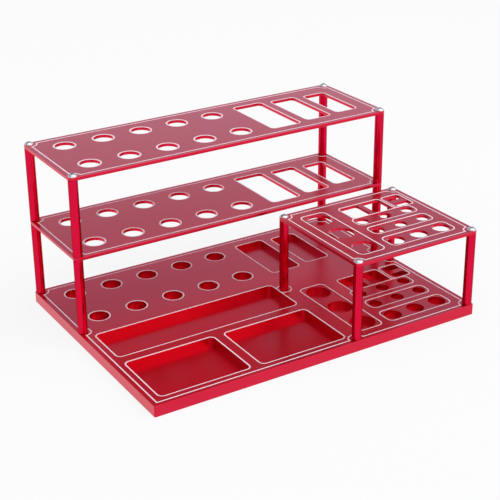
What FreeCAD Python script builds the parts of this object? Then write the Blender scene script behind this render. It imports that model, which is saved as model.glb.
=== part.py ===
"""Hobby workstation organizer in red anodised aluminium.

A thick base plate with milled trays and blind pockets carries two racks on
turned posts. The tall rack at the back has two long shelves, one above the
other, with driver holes and wide slots. The side rack at the right front has
one small shelf for bits, handles and flat tools. The base repeats each rack's
pattern as blind pockets, so that a tool stands in line in every level.

Each edge that was cut after the anodising shows as a shallow bright line.
Threaded studs join the posts to the tapped base and to each other through the
middle shelf, and button head screws close the two upper shelves.

Lengths are in millimetres. X runs along the long side, Y to the back, Z up.
The origin is the middle of the base plate's underside.
"""

import FreeCAD
import Part
import math
import os

Vector = FreeCAD.Vector

# Plates
base_length = 300.0
base_depth = 220.0
base_thickness = 9.4
base_corner_radius = 1.2
shelf_thickness = 2.7
side_rack_length = 121.6
rack_gap = 13.8
tall_rack_depth_share = 0.4535
edge_break = 0.15
cut_overrun = 2.0

# Posts, all alike
post_diameter = 7.8
post_length = 64.4
post_edge_margin = 0.1
post_end_chamfer = 0.4

# Threads are plain bores and shanks at the thread's outer size
thread_diameter = 4.0
tap_slack = 0.05
tap_run_out = 2.0
drill_point_angle = 118.0
plate_hole_slack = 0.2
thread_tip_chamfer = 0.5

# Button head screws on the two upper shelves
button_head_diameter = 7.4
button_head_height = 2.0
button_head_rim = 0.4
button_head_flat_diameter = 3.6
button_head_bulge = 0.3
button_screw_grip = 6.0

# Threaded studs, in the posts and in the base
stud_grip = 8.0
base_stud_grip = 7.0

# Hexagon sockets
screw_socket_width = 2.5
screw_socket_depth = 1.3
stud_socket_width = 2.0
stud_socket_depth = 2.5

# Bright lines, cut through the anodised skin
line_width = 1.1
line_depth = 0.12
ring_width = 1.25
outline_inset = 4.1
outline_post_gap = 2.6

# Trays and pockets in the base
tray_depth = 6.2
rack_pocket_depth = 5.0
tray_corner_radius = 4.0
tray_side_margin = 10.0
tray_front_margin = 10.1
tray_post_gap = 2.1
tray_rack_gap = 5.6
front_tray_gap = 10.0
tray_row_gap = 10.5
front_tray_depth_share = 0.58

# Driver holes and slots of the tall rack
driver_hole_diameter = 16.6
driver_column_count = 5
driver_row_count = 2
driver_end_inset = 27.3
driver_row_pitch_share = 0.513
driver_to_slot = 26.2
slot_corner_radius = 3.5
slot_end_margin = 16.6
slot_gap = 9.0
wide_slot_width = 28.1
wide_slot_length_share = 0.7
middle_slot_width = 24.0
middle_slot_length_share = 0.634
narrow_slot_width = 21.3
narrow_slot_length_share = 0.564

# Fields of the side rack. A field is a shallow step inside a bright line, and
# its holes start from the step.
field_step = 0.4
field_corner_radius = 4.5
field_front_margin = 13.0
field_back_margin = 13.2
handle_field_inset = 13.6
handle_field_width = 23.5
handle_hole_diameter = 21.2
handle_hole_count = 3
handle_hole_end_margin = 1.3
bit_field_gap = 8.3
bit_field_end_margin = 12.9
large_bit_field_share = 0.154
large_bit_hole_diameter = 14.9
large_bit_hole_end_margin = 1.15
small_bit_field_inset = 1.8
small_bit_field_share = 0.124
small_bit_hole_diameter = 11.1
bit_hole_count = 3
front_row_gap = 8.2
back_row_gap = 6.9

# Windows and slits behind the bit rows
window_field_inset = 4.2
window_field_back_margin = 15.0
window_corner_radius = 3.0
window_ledge = 0.4
window_bar_width = 4.4
slit_field_gap = 3.3
slit_field_length = 17.7
slit_field_end_margin = 7.5
slit_length = 14.2
slit_side_margin = 1.0
slit_width_share = 0.325
slit_end_share = 0.05
slit_corner_radius = 1.8

# A rounded corner takes up to this share of the side that it ends
corner_limit_share = 0.45

# Levels, edges and places that follow from the sizes above
base_left = -base_length / 2
base_right = base_length / 2
base_front = -base_depth / 2
base_back = base_depth / 2
tall_rack_depth = tall_rack_depth_share * (base_depth - rack_gap)
tall_rack_front = base_back - tall_rack_depth
side_rack_left = base_right - side_rack_length
side_rack_back = tall_rack_front - rack_gap
side_rack_depth = side_rack_back - base_front
lower_shelf_level = base_thickness + post_length
lower_shelf_top = lower_shelf_level + shelf_thickness
top_shelf_level = lower_shelf_top + post_length
post_radius = post_diameter / 2
post_inset = post_radius + post_edge_margin
thread_radius = thread_diameter / 2
tap_radius = thread_radius + tap_slack
tapped_depth = max(button_screw_grip, stud_grip) + tap_run_out
plate_hole_radius = thread_radius + plate_hole_slack


def rack_places(left, right, front, back):
    """The post axes at the four corners of a rack, each with the corner's name."""
    columns = {"left": left + post_inset, "right": right - post_inset}
    rows = {"front": front + post_inset, "back": back - post_inset}
    return {row + "_" + column: (x, y) for row, y in rows.items() for column, x in columns.items()}


tall_rack_posts = rack_places(base_left, base_right, tall_rack_front, base_back)
side_rack_posts = rack_places(side_rack_left, base_right, base_front, side_rack_back)


# Shapes that several pieces share

def disc(x, y, bottom, radius, height):
    """A round bar standing on its end."""
    return Part.makeCylinder(radius, height, Vector(x, y, bottom))


def level_edges(shape, level):
    """The edges of a shape that lie flat at one height."""
    box_of = [(edge, edge.BoundBox) for edge in shape.Edges]
    near = line_depth / 2
    return [edge for edge, box in box_of if abs(box.ZMin - level) < near and abs(box.ZMax - level) < near]


def rounded_block(left, right, front, back, bottom, height, corner_radius):
    """A block whose four upright edges are rounded."""
    length = right - left
    depth = back - front
    block = Part.makeBox(length, depth, height, Vector(left, front, bottom))
    upright = [edge for edge in block.Edges if edge.BoundBox.ZLength > height / 2]
    return block.makeFillet(min(corner_radius, corner_limit_share * min(length, depth)), upright)


def turned(profile):
    """Spins a closed profile of (radius, height) corners about the Z axis.

    A corner given with a third value, a bulge, is reached by an arc that stands
    out from the straight line by that much.
    """
    edges = []
    for start, end in zip(profile, profile[1:] + profile[:1]):
        a = Vector(start[0], 0, start[1])
        b = Vector(end[0], 0, end[1])
        if len(end) == 2:
            edges.append(Part.LineSegment(a, b).toShape())
        else:
            run = b - a
            outward = Vector(run.z, 0, -run.x).normalize()
            edges.append(Part.Arc(a, (a + b) / 2 + outward * end[2], b).toShape())
    return Part.Face(Part.Wire(edges)).revolve(Vector(0, 0, 0), Vector(0, 0, 1))


def hexagon(width, bottom, height):
    """A hexagon bar on the Z axis, measured across its flats."""
    corner_reach = width / math.sqrt(3)
    angles = [math.radians(60 * corner) for corner in range(7)]
    ring = [Vector(corner_reach * math.cos(a), corner_reach * math.sin(a), bottom) for a in angles]
    return Part.Face(Part.makePolygon(ring)).extrude(Vector(0, 0, height))


def at(shape, x, y, z):
    """A copy of a shape, moved from the origin to a place."""
    moved = shape.copy()
    moved.translate(Vector(x, y, z))
    return moved


def plate(left, right, front, back, bottom, thickness, corner_radius):
    """A sawn plate with rounded corners and broken edges."""
    blank = rounded_block(left, right, front, back, bottom, thickness, corner_radius)
    rims = level_edges(blank, bottom) + level_edges(blank, bottom + thickness)
    return blank.makeChamfer(edge_break, rims)


# Tools that cut the patterns. Each starts above the face and reaches down.

def face_cut(left, right, front, back, face, depth, corner_radius):
    """A rounded pocket, sunk from a face to a depth."""
    return rounded_block(left, right, front, back, face - depth, depth + cut_overrun, corner_radius)


def lined_round(x, y, face, radius, depth):
    """A round hole with its bright ring."""
    ring = disc(x, y, face - line_depth, radius + ring_width, line_depth + cut_overrun)
    hole = disc(x, y, face - depth, radius, depth + cut_overrun)
    return [ring, hole]


def line_round(left, right, front, back, face, corner_radius):
    """The bright line that runs round the outside of a rounded opening."""
    w = line_width
    return face_cut(left - w, right + w, front - w, back + w, face, line_depth, corner_radius + w)


def lined_pocket(left, right, front, back, face, depth, corner_radius):
    """A rounded opening with its bright line."""
    line = line_round(left, right, front, back, face, corner_radius)
    return [line, face_cut(left, right, front, back, face, depth, corner_radius)]


def outline(left, right, front, back, face, posts):
    """The line just inside a plate's edge, which steps in round each post."""
    bottom = face - line_depth
    height = line_depth + cut_overrun

    def inside(inset, post_gap, lower, tall):
        size = (right - left - 2 * inset, back - front - 2 * inset, tall)
        region = Part.makeBox(*size, Vector(left + inset, front + inset, lower))
        for x, y in posts:
            region = region.cut(disc(x, y, lower - cut_overrun, post_radius + post_gap, tall + 2 * cut_overrun))
        return region

    half = line_width / 2
    outer = inside(outline_inset - half, outline_post_gap - half, bottom, height)
    inner = inside(outline_inset + half, outline_post_gap + half, bottom - cut_overrun, height + 2 * cut_overrun)
    return [outer.cut(inner)]


# The patterns

def spread(first, last, count):
    """Evenly spaced places from the first to the last."""
    return [first + (last - first) * step / (count - 1) for step in range(count)]


def slot_places():
    """Left and right edge of each slot with its length, from the wide one to the narrow one."""
    sizes = [
        (narrow_slot_width, narrow_slot_length_share),
        (middle_slot_width, middle_slot_length_share),
        (wide_slot_width, wide_slot_length_share),
    ]
    slots = []
    right = base_right - slot_end_margin
    for width, length_share in sizes:
        slots.append((right - width, right, length_share * tall_rack_depth))
        right = right - width - slot_gap
    return slots[::-1]


def tall_pattern(face, depth):
    """Driver holes and slots of the tall rack, cut from a face to a depth."""
    middle = (tall_rack_front + base_back) / 2
    slots = slot_places()
    first_column = base_left + driver_end_inset
    last_column = slots[0][0] - driver_to_slot
    half_rows = driver_row_pitch_share * tall_rack_depth / 2
    tools = []
    for x in spread(first_column, last_column, driver_column_count):
        for y in spread(middle - half_rows, middle + half_rows, driver_row_count):
            tools += lined_round(x, y, face, driver_hole_diameter / 2, depth)
    for left, right, length in slots:
        front = middle - length / 2
        tools += lined_pocket(left, right, front, front + length, face, depth, slot_corner_radius)
    return tools


def field(left, right, front, back, face, corner_radius):
    """A bright line with the shallow step inside it."""
    line = line_round(left, right, front, back, face, corner_radius)
    return [line, face_cut(left, right, front, back, face, field_step, corner_radius)]


def hole_row(places, radius, face, depth):
    """Plain round holes, cut from the step of a field."""
    return [disc(x, y, face - depth, radius, depth) for x, y in places]


def handle_field(face, depth):
    """The long field at the left of the side rack, with its handle holes front to back."""
    left = side_rack_left + handle_field_inset
    right = left + handle_field_width
    front = base_front + field_front_margin
    back = side_rack_back - field_back_margin
    radius = handle_hole_diameter / 2
    reach = radius + handle_hole_end_margin
    middle = (left + right) / 2
    places = [(middle, y) for y in spread(front + reach, back - reach, handle_hole_count)]
    return field(left, right, front, back, face, field_corner_radius) + hole_row(places, radius, face, depth)


def bit_rows():
    """Edges and hole radius of the three bit rows, from the front one to the back one."""
    left = side_rack_left + handle_field_inset + handle_field_width + bit_field_gap
    right = base_right - bit_field_end_margin
    rows = []
    front = base_front + field_front_margin
    back = front + large_bit_field_share * side_rack_depth
    rows.append((left, right, front, back, large_bit_hole_diameter / 2))
    for gap in (front_row_gap, back_row_gap):
        front = back + gap
        back = front + small_bit_field_share * side_rack_depth
        inner_left = left + small_bit_field_inset
        inner_right = right - small_bit_field_inset
        rows.append((inner_left, inner_right, front, back, small_bit_hole_diameter / 2))
    return rows


def bit_fields(face, depth):
    """Three rows of bit holes, all in line from front to back."""
    rows = bit_rows()
    left, right = rows[0][:2]
    reach = large_bit_hole_diameter / 2 + large_bit_hole_end_margin
    columns = spread(left + reach, right - reach, bit_hole_count)
    tools = []
    for left, right, front, back, radius in rows:
        places = [(x, (front + back) / 2) for x in columns]
        tools += field(left, right, front, back, face, field_corner_radius)
        tools += hole_row(places, radius, face, depth)
    return tools


def window_field(face, depth):
    """The two square windows, side by side in one field that ends at the back bit row's line."""
    row_left, row_right, row_front, row_back, row_radius = bit_rows()[-1]
    left = row_left + window_field_inset
    right = slit_field_edges()[0] - slit_field_gap
    back = side_rack_back - window_field_back_margin
    row_line_back = row_back + line_width
    edges = (left, right, row_back - window_corner_radius, back)
    line, step = field(*edges, face, window_corner_radius)
    row_edges = (row_left - line_width, row_right + line_width, row_front - line_width, row_line_back)
    row_area = face_cut(*row_edges, face, field_step + line_depth, field_corner_radius + line_width)
    tools = [line, step.cut(row_area)]
    width = (right - left - window_bar_width) / 2 - window_ledge
    for start in (left + window_ledge, right - window_ledge - width):
        opening = (start, start + width, row_line_back + window_ledge, back - window_ledge)
        tools.append(face_cut(*opening, face, depth, window_corner_radius))
    return tools


def slit_field_edges():
    """Left and right edge of the field that holds the two slits."""
    right = base_right - slit_field_end_margin
    return right - slit_field_length, right


def slit_field(face, depth):
    """Two short slits, one behind the other."""
    left, right = slit_field_edges()
    front = bit_rows()[-1][3] + line_width
    back = side_rack_back - window_field_back_margin
    slit_right = right - slit_side_margin
    half_width = slit_width_share * (back - front) / 2
    reach = half_width + slit_end_share * (back - front)
    tools = field(left, right, front, back, face, window_corner_radius)
    for y in (front + reach, back - reach):
        edges = (slit_right - slit_length, slit_right, y - half_width, y + half_width)
        tools.append(face_cut(*edges, face, depth, slit_corner_radius))
    return tools


def side_pattern(face, depth):
    """All fields of the side rack, cut from a face to a depth."""
    return window_field(face, depth) + slit_field(face, depth) + bit_fields(face, depth) + handle_field(face, depth)


def trays(face):
    """Two trays side by side at the front, and one long tray behind them."""
    left = base_left + tray_side_margin
    right = side_rack_left + post_inset - post_radius - tray_post_gap
    front = base_front + tray_front_margin
    back = tall_rack_front - tray_rack_gap
    front_depth = front_tray_depth_share * (back - front - tray_row_gap)
    row_front_back = front + front_depth
    row_back_front = row_front_back + tray_row_gap
    middle = (left + right) / 2
    half_gap = front_tray_gap / 2
    edges = [
        (left, middle - half_gap, front, row_front_back),
        (middle + half_gap, right, front, row_front_back),
        (left, right, row_back_front, back),
    ]
    tools = []
    for tray in edges:
        tools += lined_pocket(*tray, face, tray_depth, tray_corner_radius)
    return tools


def carve(blank, tools):
    """Cuts the tools out of a blank one after another."""
    for tool in tools:
        blank = blank.cut(tool)
    return blank


def post_holes(posts, bottom, thickness, radius):
    """Screw holes through a plate at its posts."""
    tall = thickness + 2 * cut_overrun
    return [disc(x, y, bottom - cut_overrun, radius, tall) for x, y in posts]


# The plates

def base_plate():
    """The thick plate that the whole organizer stands on."""
    edges = (base_left, base_right, base_front, base_back)
    posts = list(tall_rack_posts.values()) + list(side_rack_posts.values())
    blank = plate(*edges, 0, base_thickness, base_corner_radius)
    tools = outline(*edges, base_thickness, posts)
    tools += trays(base_thickness)
    tools += tall_pattern(base_thickness, rack_pocket_depth)
    tools += side_pattern(base_thickness, rack_pocket_depth)
    tools += post_holes(posts, 0, base_thickness, tap_radius)
    return carve(blank, tools)


def long_shelf(bottom):
    """One shelf of the tall rack."""
    edges = (base_left, base_right, tall_rack_front, base_back)
    posts = list(tall_rack_posts.values())
    face = bottom + shelf_thickness
    blank = plate(*edges, bottom, shelf_thickness, post_inset)
    tools = outline(*edges, face, posts)
    tools += tall_pattern(face, shelf_thickness + cut_overrun)
    tools += post_holes(posts, bottom, shelf_thickness, plate_hole_radius)
    return carve(blank, tools)


def side_shelf():
    """The small shelf of the side rack."""
    edges = (side_rack_left, base_right, base_front, side_rack_back)
    posts = list(side_rack_posts.values())
    blank = plate(*edges, lower_shelf_level, shelf_thickness, post_inset)
    tools = outline(*edges, lower_shelf_top, posts)
    tools += side_pattern(lower_shelf_top, shelf_thickness + cut_overrun)
    tools += post_holes(posts, lower_shelf_level, shelf_thickness, plate_hole_radius)
    return carve(blank, tools)


# Posts and fasteners, made once each at the origin

def post():
    """A turned post with a tapped hole in each end."""
    r = post_radius
    c = post_end_chamfer
    drill_point = tap_radius / math.tan(math.radians(drill_point_angle / 2))
    lower_end = [(tap_radius, 0), (r - c, 0), (r, c)]
    upper_end = [(r, post_length - c), (r - c, post_length), (tap_radius, post_length)]
    upper_bore = [(tap_radius, post_length - tapped_depth), (0, post_length - tapped_depth - drill_point)]
    lower_bore = [(0, tapped_depth + drill_point), (tap_radius, tapped_depth)]
    return turned(lower_end + upper_end + upper_bore + lower_bore)


def button_screw():
    """A button head screw whose head sits on Z = 0 and whose shank points down."""
    r = thread_radius
    c = thread_tip_chamfer
    tip = -shelf_thickness - button_screw_grip
    head = button_head_diameter / 2
    shank = [(0, tip), (r - c, tip), (r, tip + c), (r, 0)]
    crown = [(button_head_flat_diameter / 2, button_head_height, button_head_bulge), (0, button_head_height)]
    body = turned(shank + [(head, 0), (head, button_head_rim)] + crown)
    floor = button_head_height - screw_socket_depth
    return body.cut(hexagon(screw_socket_width, floor, screw_socket_depth + cut_overrun))


def stud(lower_grip, between, upper_grip):
    """A headless stud that starts between two threads on Z = 0, with a socket in its lower end."""
    r = thread_radius
    c = thread_tip_chamfer
    foot = -lower_grip
    tip = between + upper_grip
    body = turned([(0, foot), (r - c, foot), (r, foot + c), (r, tip - c), (r - c, tip), (0, tip)])
    return body.cut(hexagon(stud_socket_width, foot - cut_overrun, cut_overrun + stud_socket_depth))


def all_pieces():
    """Every piece at its place, by name."""
    pieces = {
        "base_plate": base_plate(),
        "middle_shelf": long_shelf(lower_shelf_level),
        "top_shelf": long_shelf(top_shelf_level),
        "side_shelf": side_shelf(),
    }
    rod = post()
    button = button_screw()
    joining_stud = stud(stud_grip, shelf_thickness, stud_grip)
    base_stud = stud(base_stud_grip, 0, stud_grip)
    for corner, (x, y) in tall_rack_posts.items():
        pieces["rack_base_stud_" + corner] = at(base_stud, x, y, base_thickness)
        pieces["lower_post_" + corner] = at(rod, x, y, base_thickness)
        pieces["joining_stud_" + corner] = at(joining_stud, x, y, lower_shelf_level)
        pieces["upper_post_" + corner] = at(rod, x, y, lower_shelf_top)
        pieces["top_screw_" + corner] = at(button, x, y, top_shelf_level + shelf_thickness)
    for corner, (x, y) in side_rack_posts.items():
        pieces["side_base_stud_" + corner] = at(base_stud, x, y, base_thickness)
        pieces["side_post_" + corner] = at(rod, x, y, base_thickness)
        pieces["side_screw_" + corner] = at(button, x, y, lower_shelf_top)
    return pieces


os.makedirs("parts", exist_ok=True)
for name, shape in all_pieces().items():
    if len(shape.Solids) != 1 or not shape.isValid():
        raise ValueError(name + " is not one sound solid")
    shape.Solids[0].exportStep("parts/" + name + ".step")
    print(name, "volume", round(shape.Volume), "cubic mm")
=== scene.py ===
# %% [markdown]
# # A hobby workstation organizer in red anodised aluminium
#
# The object is a thick milled base plate, two long shelves and one small shelf,
# all on turned posts. It is metal throughout, so its shape comes whole from the
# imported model, and what this lesson adds is the finish: satin red anodising,
# bright lines cut through it, turned posts and bright screws.
#
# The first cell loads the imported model. Each part of it becomes one Blender
# object in metres, and none of them is moved or reshaped later.

import bpy
from mathutils import Matrix, Vector


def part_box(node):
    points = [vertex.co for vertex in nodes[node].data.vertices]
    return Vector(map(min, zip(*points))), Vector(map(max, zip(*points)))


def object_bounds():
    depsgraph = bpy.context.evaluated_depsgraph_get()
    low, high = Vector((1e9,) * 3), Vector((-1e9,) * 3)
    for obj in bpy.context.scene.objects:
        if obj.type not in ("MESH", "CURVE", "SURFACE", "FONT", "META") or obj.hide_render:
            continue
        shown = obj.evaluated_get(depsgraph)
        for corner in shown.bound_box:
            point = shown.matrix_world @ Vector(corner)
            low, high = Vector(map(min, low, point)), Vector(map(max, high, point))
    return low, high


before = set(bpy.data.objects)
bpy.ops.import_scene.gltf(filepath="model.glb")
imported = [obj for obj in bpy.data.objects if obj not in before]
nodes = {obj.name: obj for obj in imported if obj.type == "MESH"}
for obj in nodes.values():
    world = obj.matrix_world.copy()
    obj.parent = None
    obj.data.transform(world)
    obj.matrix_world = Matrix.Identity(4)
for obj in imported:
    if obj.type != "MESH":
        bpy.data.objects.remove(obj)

model_low, model_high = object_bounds()
print(len(nodes), "parts, size", [round(side, 4) for side in model_high - model_low], "m")

# %% [markdown]
# ## Small tools for building materials
#
# A material is a tree of nodes, and typing every link by hand hides what the
# tree does. One helper adds a node, sets it up, and fills each of its sockets
# with a number or with a link from another node, so that a tree reads from top
# to bottom like a recipe.

# %% Helpers that add nodes
MIX_MASK, MIX_FIRST, MIX_SECOND = 0, 6, 7  # a colour mixer's sockets, by number
MIX_RESULT = 2


def put(tree, kind, sockets=None, **settings):
    """Adds a node to a tree and fills its sockets with values or links."""
    made = tree.nodes.new(kind)
    for name, value in settings.items():
        setattr(made, name, value)
    for name, value in (sockets or {}).items():
        if isinstance(value, bpy.types.NodeSocket):
            tree.links.new(value, made.inputs[name])
        else:
            made.inputs[name].default_value = value
    return made


def sum_up(tree, operation, first, second=0.0):
    """A Math node's result."""
    return put(tree, "ShaderNodeMath", {0: first, 1: second}, operation=operation).outputs[0]


def between(tree, mask, low, high):
    """Slides from one number to another as a mask goes from 0 to 1."""
    sockets = {"Value": mask, "To Min": low, "To Max": high}
    return put(tree, "ShaderNodeMapRange", sockets).outputs["Result"]


def mix_colours(tree, mask, first, second):
    """Slides from one colour to another as a mask goes from 0 to 1."""
    sockets = {MIX_MASK: mask, MIX_FIRST: first, MIX_SECOND: second}
    return put(tree, "ShaderNodeMix", sockets, data_type="RGBA").outputs[MIX_RESULT]


print("node helpers are ready")

# %% A helper that starts a node group
def new_group(name, inputs, outputs):
    """An empty group with number sockets. Gives the tree, its inputs and its output node."""
    group = bpy.data.node_groups.new(name, "ShaderNodeTree")
    number = {"socket_type": "NodeSocketFloat"}
    for socket, value in inputs.items():
        made = group.interface.new_socket(name=socket, in_out="INPUT", **number)
        made.default_value = value
    for socket in outputs:
        group.interface.new_socket(name=socket, in_out="OUTPUT", **number)
    entry = group.nodes.new("NodeGroupInput")
    return group, entry.outputs, group.nodes.new("NodeGroupOutput")


def place_group(tree, group, **values):
    """Puts a group into a material with its own values. Underscores stand for spaces."""
    made = put(tree, "ShaderNodeGroup", node_tree=group)
    for name, value in values.items():
        made.inputs[name.replace("_", " ")].default_value = value
    return made.outputs


print("group helpers are ready")

# %% [markdown]
# ## Blasted grain
#
# Before it is dyed, the aluminium is blasted with fine beads. That leaves a
# grain far smaller than a millimetre, which spreads each reflection a little,
# and the dye takes a shade more or less of it from place to place. It could be
# done with a picture of a texture, but noise needs no mapping on milled shapes.
# The same grain serves plates, posts and screws, so it is a node group with a
# size and a height that each material sets for itself.

# %% The grain group
GRAIN_DETAIL = 2.0
PATCH_DETAIL = 3.0


def make_grain():
    group, given, result = new_group(
        "blasted grain", {"Grain Size": 0.0001, "Patch Size": 0.04}, ("Grain", "Patches"))
    place = put(group, "ShaderNodeTexCoord").outputs["Object"]
    scale = sum_up(group, "DIVIDE", 1.0, given["Grain Size"])
    sockets = {"Vector": place, "Scale": scale, "Detail": GRAIN_DETAIL}
    grain = put(group, "ShaderNodeTexNoise", sockets)
    scale = sum_up(group, "DIVIDE", 1.0, given["Patch Size"])
    sockets = {"Vector": place, "Scale": scale, "Detail": PATCH_DETAIL}
    patches = put(group, "ShaderNodeTexNoise", sockets)
    group.links.new(grain.outputs["Fac"], result.inputs["Grain"])
    group.links.new(patches.outputs["Fac"], result.inputs["Patches"])
    return group


grain_group = make_grain()
print("made the group", grain_group.name)

# %% [markdown]
# ## Turning marks
#
# The posts come off a lathe, and the tool leaves rings finer than a hair that
# run round the bar. Noise that changes fast along the axis and hardly at all
# across it gives such rings, unevenly spaced as on real work, where a wave
# texture would look ruled.

# %% The turning group
RING_DETAIL = 2.0


def make_turning():
    group, given, result = new_group("turning marks", {"Ring Pitch": 0.0002}, ("Rings",))
    place = put(group, "ShaderNodeTexCoord").outputs["Object"]
    height = put(group, "ShaderNodeSeparateXYZ", {"Vector": place}).outputs["Z"]
    along = sum_up(group, "DIVIDE", height, given["Ring Pitch"])
    sockets = {"W": along, "Scale": 1.0, "Detail": RING_DETAIL}
    rings = put(group, "ShaderNodeTexNoise", sockets, noise_dimensions="1D")
    group.links.new(rings.outputs["Fac"], result.inputs["Rings"])
    return group


turning_group = make_turning()
print("made the group", turning_group.name)

# %% [markdown]
# ## Bright lines
#
# After the dyeing, a cutter runs round every opening and just inside the
# plates' edges, and bares the aluminium in a groove a tenth of a millimetre
# deep. The grooves are in the model. What is needed here is a mask that is 1 in
# the groove and 0 elsewhere. The grooves all lie within the same depth under the
# three upper faces, so the mask asks for the height of the surface. Its floor
# looks straight up and its walls look sideways. What slants between the two is
# the broken edge of a plate, which stays red.

# %% The mask of the bright lines
LINE_DEPTH = 0.00012
LEVEL_MARGIN = 0.00001
SLANT = (0.1, 0.95)
face_levels = {
    "Base Face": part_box("base_plate")[1].z,
    "Lower Face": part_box("middle_shelf")[1].z,
    "Top Face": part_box("top_shelf")[1].z,
}


def make_line_mask():
    group, given, result = new_group(
        "bright line mask", {**face_levels, "Line Depth": LINE_DEPTH}, ("Line",))
    surface = put(group, "ShaderNodeTexCoord").outputs
    height = put(group, "ShaderNodeSeparateXYZ", {"Vector": surface["Object"]}).outputs["Z"]
    half = sum_up(group, "MULTIPLY", given["Line Depth"], 0.5)
    in_groove = 0.0
    for face in face_levels:
        above = sum_up(group, "SUBTRACT", height, sum_up(group, "SUBTRACT", given[face], half))
        reach = sum_up(group, "ADD", half, LEVEL_MARGIN)
        near = sum_up(group, "LESS_THAN", sum_up(group, "ABSOLUTE", above), reach)
        brink = sum_up(group, "SUBTRACT", half, LEVEL_MARGIN)
        on_face = sum_up(group, "GREATER_THAN", above, brink)
        in_groove = sum_up(group, "MAXIMUM", in_groove, sum_up(group, "SUBTRACT", near, on_face))
    facing = put(group, "ShaderNodeSeparateXYZ", {"Vector": surface["Normal"]}).outputs["Z"]
    facing = sum_up(group, "ABSOLUTE", facing)
    steep, flat = (sum_up(group, test, facing, edge)
                   for test, edge in zip(("GREATER_THAN", "LESS_THAN"), SLANT))
    clean = sum_up(group, "SUBTRACT", 1.0, sum_up(group, "MULTIPLY", steep, flat))
    group.links.new(sum_up(group, "MULTIPLY", in_groove, clean), result.inputs["Line"])
    return group


line_group = make_line_mask()
in_millimetres = {face: round(level * 1000, 2) for face, level in face_levels.items()}
print("lines lie", LINE_DEPTH * 1000, "mm under", in_millimetres)

# %% [markdown]
# ## Red anodising
#
# Anodising is a clear, dyed glass-like layer on metal. Light goes through the
# dye, is thrown back by the metal and comes out red, while the top of the layer
# throws a little light back undyed, the more the flatter one looks at it. A
# metallic surface with a coat does both. The grain drives the bump, and the
# patches shift the colour and the gloss by a few percent, so that no face is
# one flat colour.

# %% Start a material
def start_material(name):
    """A material with an empty tree, its shader, and the place where the shader plugs in."""
    material = bpy.data.materials.new(name)
    material.use_nodes = True
    tree = material.node_tree
    tree.nodes.clear()
    shader = put(tree, "ShaderNodeBsdfPrincipled")
    put(tree, "ShaderNodeOutputMaterial", {"Surface": shader.outputs["BSDF"]})
    return material, tree, shader


def fill(tree, shader, **sockets):
    """Sets or links the shader's sockets. Underscores stand for spaces."""
    for name, value in sockets.items():
        socket = shader.inputs[name.replace("_", " ")]
        if isinstance(value, bpy.types.NodeSocket):
            tree.links.new(value, socket)
        else:
            socket.default_value = value


def bump(tree, height, depth, strength):
    """A normal that a height between 0 and 1 lifts by a real depth in metres."""
    sockets = {"Height": height, "Distance": depth, "Strength": strength}
    return put(tree, "ShaderNodeBump", sockets).outputs["Normal"]


print("material helpers are ready")

# %% The plates
BLASTED_GRAIN = 0.00012
GRAIN_DEPTH = 0.00001
COAT_IOR = 1.5
DYE_DEEP = (0.66, 0.001, 0.036, 1.0)
DYE_LIGHT = (0.74, 0.003, 0.046, 1.0)
BARE_ALUMINIUM = (1.0, 0.80, 0.86, 1.0)
PLATE_PATCHES = 0.05
PLATE_ROUGHNESS = (0.26, 0.34)
PLATE_GRAIN_STRENGTH = 0.25
PLATE_COAT, PLATE_COAT_ROUGHNESS = 0.4, 0.2
LINE_ROUGHNESS = 0.5


def make_plate_material():
    material, tree, shader = start_material("red_plate")
    grain = place_group(
        tree, grain_group, Grain_Size=BLASTED_GRAIN, Patch_Size=PLATE_PATCHES)
    line = place_group(tree, line_group)["Line"]
    dye = mix_colours(tree, grain["Patches"], DYE_DEEP, DYE_LIGHT)
    satin = between(tree, grain["Patches"], *PLATE_ROUGHNESS)
    fill(
        tree, shader,
        Base_Color=mix_colours(tree, line, dye, BARE_ALUMINIUM),
        Metallic=between(tree, line, 1.0, 0.0),
        Roughness=between(tree, line, satin, LINE_ROUGHNESS),
        Coat_Weight=between(tree, line, PLATE_COAT, 0.0),
        Coat_Roughness=PLATE_COAT_ROUGHNESS,
        Coat_IOR=COAT_IOR,
        Normal=bump(tree, grain["Grain"], GRAIN_DEPTH, PLATE_GRAIN_STRENGTH),
    )
    return material


plate_material = make_plate_material()
print("made", plate_material.name)

# %% [markdown]
# ## Turned posts
#
# The posts have the same dye over a smoother, turned surface, so they carry
# sharper streaks of light along their length and grow dark where the surface
# turns away. The tint of a metal's specular sets that dark edge. The turning
# rings take the place of most of the grain.

# %% The posts
POST_PATCHES = 0.02
POST_RING_PITCH = 0.00015
POST_RING_STRENGTH = 0.15
POST_ROUGHNESS = (0.08, 0.15)
POST_EDGE_TINT = (0.1, 0.02, 0.04, 1.0)
POST_COAT, POST_COAT_ROUGHNESS = 0.12, 0.1


def make_post_material():
    material, tree, shader = start_material("red_post")
    grain = place_group(
        tree, grain_group, Grain_Size=BLASTED_GRAIN, Patch_Size=POST_PATCHES)
    rings = place_group(tree, turning_group, Ring_Pitch=POST_RING_PITCH)["Rings"]
    fill(
        tree, shader,
        Base_Color=mix_colours(tree, grain["Patches"], DYE_DEEP, DYE_LIGHT),
        Metallic=1.0,
        Roughness=between(tree, rings, *POST_ROUGHNESS),
        Specular_Tint=POST_EDGE_TINT,
        Coat_Weight=POST_COAT,
        Coat_Roughness=POST_COAT_ROUGHNESS,
        Coat_IOR=COAT_IOR,
        Normal=bump(tree, rings, GRAIN_DEPTH, POST_RING_STRENGTH),
    )
    return material


post_material = make_post_material()
print("made", post_material.name)

# %% [markdown]
# ## Screws and studs
#
# The screws are bright steel with a fine grain, and the studs inside are plain
# steel, darker and duller. Each is a grey metal between two shades with its own
# gloss, so one function makes both.

# %% The steels
STEEL_GRAIN, STEEL_PATCHES = 0.0001, 0.003
STEEL_GRAIN_STRENGTH = 0.2


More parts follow.
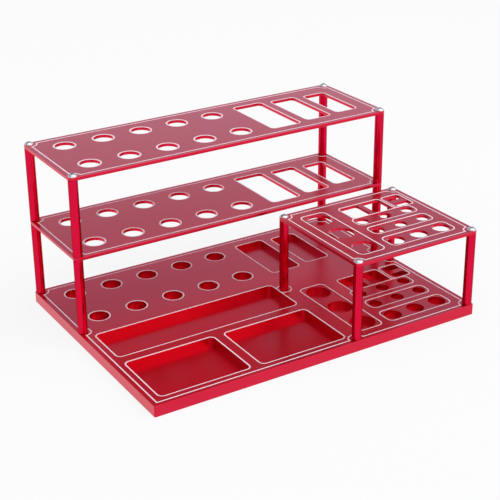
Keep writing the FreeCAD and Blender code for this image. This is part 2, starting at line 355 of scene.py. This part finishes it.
def make_steel(name, dark, light, smooth, rough):
    material, tree, shader = start_material(name)
    grain = place_group(
        tree, grain_group, Grain_Size=STEEL_GRAIN, Patch_Size=STEEL_PATCHES)
    fill(
        tree, shader,
        Base_Color=mix_colours(tree, grain["Patches"], dark, light),
        Metallic=1.0,
        Roughness=between(tree, grain["Patches"], smooth, rough),
        Normal=bump(tree, grain["Grain"], GRAIN_DEPTH, STEEL_GRAIN_STRENGTH),
    )
    return material


screw_material = make_steel(
    "screw_steel", dark=(0.62, 0.62, 0.63, 1.0), light=(0.78, 0.78, 0.79, 1.0),
    smooth=0.16, rough=0.28)
stud_material = make_steel(
    "stud_steel", dark=(0.36, 0.36, 0.37, 1.0), light=(0.48, 0.48, 0.49, 1.0),
    smooth=0.3, rough=0.42)
print("made", screw_material.name, "and", stud_material.name)

# %% [markdown]
# ## Dress the parts
#
# Each part of the model keeps its mesh and gets its finish by its name: plates
# and shelves, posts, screws, and studs.

# %% Assign the finishes
FINISHES = {
    "_plate": plate_material,
    "_shelf": plate_material,
    "_post_": post_material,
    "_screw_": screw_material,
    "_stud_": stud_material,
}


def finish_of(name):
    """The one finish whose word is in a part's name."""
    return next(material for word, material in FINISHES.items() if word in name)


dressed = {}
for name, part in nodes.items():
    material = finish_of(name)
    part.data.materials.clear()
    part.data.materials.append(material)
    dressed[material.name] = dressed.get(material.name, 0) + 1
print("dressed", dressed)

# %% [markdown]
# ## Camera
#
# The photograph was taken with a long lens from the front left, above the
# object. The place of the camera, its lens and its small tilt come from matching
# the object's corners, and the lens shift from the way the picture was cropped.

# %% The camera
SENSOR = 36.0
PHOTO_SIDE = 500.0
FOCAL_PIXELS = 1244.19
EYE = Vector((-0.493132, -0.801265, 0.485578))
LOOK = Vector((0.475466, 0.787100, -0.392946))
RIGHT = Vector((0.853500, -0.520981, -0.010825))
CENTRE_OFFSET = (-9.196, -33.008)
NEAREST, FARTHEST = 0.01, 100.0


def make_camera():
    data = bpy.data.cameras.new("camera")
    data.sensor_width = SENSOR
    data.lens = SENSOR * FOCAL_PIXELS / PHOTO_SIDE
    data.shift_x = -CENTRE_OFFSET[0] / PHOTO_SIDE
    data.shift_y = CENTRE_OFFSET[1] / PHOTO_SIDE
    data.clip_start = NEAREST
    data.clip_end = FARTHEST
    camera = bpy.data.objects.new("camera", data)
    bpy.context.scene.collection.objects.link(camera)
    back = -LOOK.normalized()
    up = back.cross(RIGHT).normalized()
    right = up.cross(back)
    camera.matrix_world = Matrix.Translation(EYE) @ Matrix((right, up, back)).transposed().to_4x4()
    bpy.context.scene.camera = camera
    return camera


camera = make_camera()


def in_photo(point):
    """Where a point falls in the photograph, in pixels from its upper left corner."""
    seen = camera.matrix_world.inverted() @ Vector(point)
    across = 0.5 - camera.data.shift_x
    down = 0.5 + camera.data.shift_y
    return (
        PHOTO_SIDE * across + FOCAL_PIXELS * seen.x / -seen.z,
        PHOTO_SIDE * down - FOCAL_PIXELS * seen.y / -seen.z,
    )


bpy.context.view_layer.update()
for title, corner in {
    "base, front left foot": (model_low.x, model_low.y, 0),
    "base, front right foot": (model_high.x, model_low.y, 0),
    "top shelf, back left": (model_low.x, model_high.y, face_levels["Top Face"]),
}.items():
    print(title, "falls at", [round(pixel, 1) for pixel in in_photo(corner)])

# %% [markdown]
# ## Floor and light
#
# The photograph has a plain white ground. The floor is pale and takes the
# object's soft shadow. To the camera and to every mirror-like surface it glows
# nearly white, by asking what kind of ray has arrived, so the white puts no
# extra diffuse light on the object.

# %% The floor
FLOOR_REACH = 8.0
FLOOR_WHITE = (0.9, 0.9, 0.9, 1.0)
GLOW_SHARE = 0.85


def seen_directly(tree):
    """A mask that is 1 for camera, mirror and glass rays, and 0 for light on a surface."""
    ray = put(tree, "ShaderNodeLightPath").outputs
    mirrored = sum_up(tree, "MAXIMUM", ray["Is Glossy Ray"], ray["Is Transmission Ray"])
    return sum_up(tree, "MAXIMUM", ray["Is Camera Ray"], mirrored)


def make_floor():
    mesh = bpy.data.meshes.new("floor")
    corners = [(-FLOOR_REACH, -FLOOR_REACH, 0), (FLOOR_REACH, -FLOOR_REACH, 0),
               (FLOOR_REACH, FLOOR_REACH, 0), (-FLOOR_REACH, FLOOR_REACH, 0)]
    mesh.from_pydata(corners, [], [(0, 1, 2, 3)])
    floor = bpy.data.objects.new("floor", mesh)
    bpy.context.scene.collection.objects.link(floor)
    floor.location.z = model_low.z
    material = bpy.data.materials.new("floor")
    material.use_nodes = True
    tree = material.node_tree
    tree.nodes.clear()
    paint = put(tree, "ShaderNodeBsdfDiffuse", {"Color": FLOOR_WHITE})
    glow = put(tree, "ShaderNodeEmission", {"Color": (1, 1, 1, 1), "Strength": 1.0})
    glow_share = between(tree, seen_directly(tree), 0.0, GLOW_SHARE)
    sockets = {0: glow_share, 1: paint.outputs[0], 2: glow.outputs[0]}
    both = put(tree, "ShaderNodeMixShader", sockets)
    put(tree, "ShaderNodeOutputMaterial", {"Surface": both.outputs[0]})
    mesh.materials.append(material)
    return floor


floor = make_floor()
print("floor at", floor.location.z)

# %% [markdown]
# ## The room
#
# Metal shows what stands round it. The upper faces mirror the room low behind
# the object, and they are pale pink at the back and darker towards the front,
# where they look higher up. So the room is pale and cool at the height of the
# object and grows dim towards the ceiling. On the right in front it is lit, as
# by a window, and the walls of the trays that face it turn a clear red.

# %% Pale walls, a dim ceiling and a lit side
WALLS = (0.76, 0.86, 1.0, 1.0)
CEILING = (0.12, 0.12, 0.16, 1.0)
WALL_TOP, CEILING_START = 0.20, 0.75
LIT_WALL = (0.85, 0.85, 0.88, 1.0)
LIT_SIDE = Vector((0.30, -0.80, 0.52))
LIT_REACH = 0.7


def make_room():
    world = bpy.data.worlds.new("room")
    world.use_nodes = True
    bpy.context.scene.world = world
    tree = world.node_tree
    tree.nodes.clear()
    towards = put(tree, "ShaderNodeTexCoord").outputs["Generated"]
    height = put(tree, "ShaderNodeSeparateXYZ", {"Vector": towards}).outputs["Z"]
    rise = {"Value": height, "From Min": WALL_TOP, "From Max": CEILING_START}
    smooth = {"interpolation_type": "SMOOTHSTEP"}
    fade = put(tree, "ShaderNodeMapRange", rise, **smooth).outputs["Result"]
    pair = {0: towards, 1: LIT_SIDE}
    aside = put(tree, "ShaderNodeVectorMath", pair, operation="DOT_PRODUCT").outputs["Value"]
    near = {"Value": aside, "From Max": LIT_REACH}
    lit = put(tree, "ShaderNodeMapRange", near, **smooth).outputs["Result"]
    colour = mix_colours(tree, lit, mix_colours(tree, fade, WALLS, CEILING), LIT_WALL)
    sky = put(tree, "ShaderNodeBackground", {"Color": colour, "Strength": 1.0})
    put(tree, "ShaderNodeOutputWorld", {"Surface": sky.outputs[0]})
    return world


room = make_room()
print("made the", room.name)

# %% [markdown]
# ## Soft lamps
#
# Two large square lamps do the rest. One hangs over the object and lights the
# bright lines, and one stands in front on the right, on the lit side. Both are
# so wide and dim that a plate that mirrors one of them still shows its own red.

# %% The lamps
KEY_PLACE, KEY_SIZE, KEY_POWER = (0.9, -1.0, 1.4), 1.6, 6.0
TOP_PLACE, TOP_SIZE, TOP_POWER = (0.0, 0.0, 1.8), 2.4, 12.0


def make_lamp(name, place, size, power):
    """A square soft box at a place, turned to the middle of the object."""
    data = bpy.data.lights.new(name, "AREA")
    data.shape = "SQUARE"
    data.size = size
    data.energy = power
    lamp = bpy.data.objects.new(name, data)
    bpy.context.scene.collection.objects.link(lamp)
    lamp.location = place
    aim = (model_low + model_high) / 2 - Vector(place)
    lamp.rotation_mode = "QUATERNION"
    lamp.rotation_quaternion = aim.to_track_quat("-Z", "Y")
    return lamp


lamps = [
    make_lamp("key lamp", KEY_PLACE, KEY_SIZE, KEY_POWER),
    make_lamp("top lamp", TOP_PLACE, TOP_SIZE, TOP_POWER),
]
print("lamps", [lamp.name for lamp in lamps])

# %% [markdown]
# ## Finish
#
# The plain view transform shows colours as they were written.

# %% Set the view transform
bpy.context.scene.view_settings.view_transform = "Standard"
